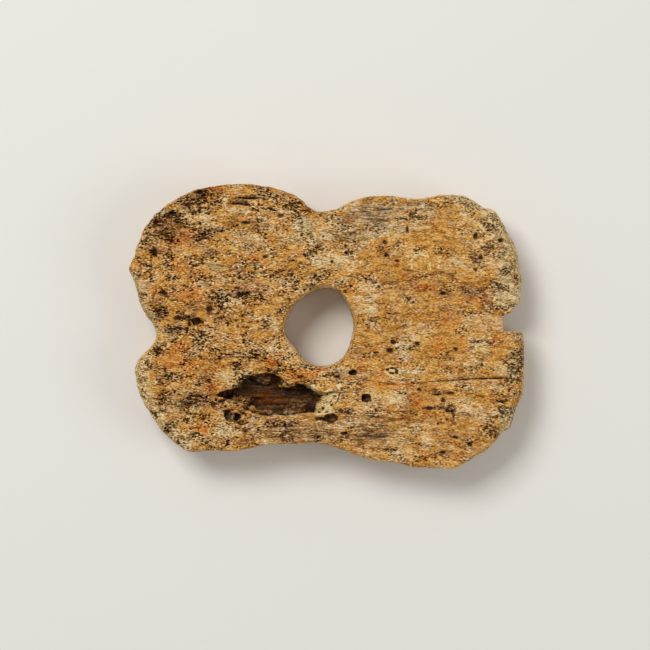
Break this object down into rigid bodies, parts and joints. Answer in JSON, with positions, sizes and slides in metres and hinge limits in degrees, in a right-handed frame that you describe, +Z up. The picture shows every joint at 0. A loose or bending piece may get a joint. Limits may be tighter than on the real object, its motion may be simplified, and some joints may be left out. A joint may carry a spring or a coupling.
{
  "type": "spindle whorl",
  "caption": "Flat four-lobed bone disc with worn edges and a central hole, pushed onto a hand spindle as its flywheel.",
  "frame": {"origin": "under the middle of the disc's outline, in the plane of its flat underside", "axes": "+X along the disc's long side, with the small broken notch at +X; +Y across it; +Z up through the thickness, along the spindle hole"},
  "size_m": [0.054, 0.0388, 0.008],
  "materials": {
    "bone": "matt"
  },
  "bodies": {
    "root": {"whorl": "bone"}
  },
  "joints": []
}
